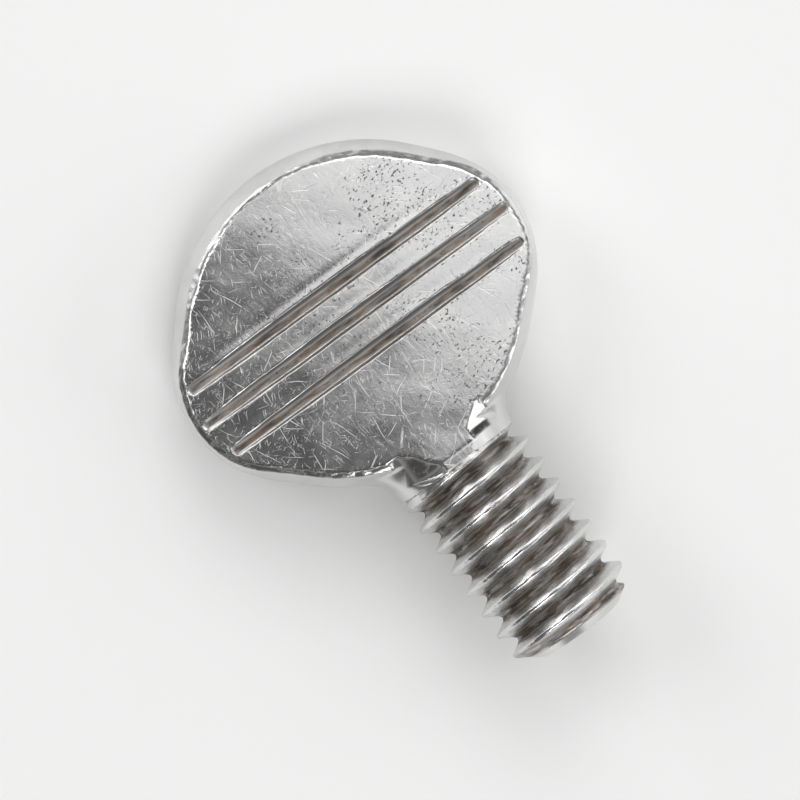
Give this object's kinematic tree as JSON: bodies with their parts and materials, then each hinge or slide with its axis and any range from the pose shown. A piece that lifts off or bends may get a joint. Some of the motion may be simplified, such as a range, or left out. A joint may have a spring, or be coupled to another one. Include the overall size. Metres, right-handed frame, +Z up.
{
  "type": "thumb screw",
  "caption": "Plated steel thumb screw with a flat, wedge-shaped spade head, grip grooves across its face and a short coarse-threaded shank, lying at rest.",
  "frame": {"origin": "on the floor, under the middle of the screw's box, with the screw lying at rest on the far edge of its head and the start of its shank", "axes": "+X along the screw towards its tip as seen from above (the screw's own axis rises 7.55 degrees towards the tip), +Y across the head, +Z up"},
  "size_m": [0.0305, 0.0216, 0.0091],
  "materials": {
    "plated_steel": "bright plated steel, scratched and pitted, with brown grime in the grooves and thread roots"
  },
  "bodies": {
    "root": {"thumb_screw": "plated_steel"}
  },
  "joints": []
}
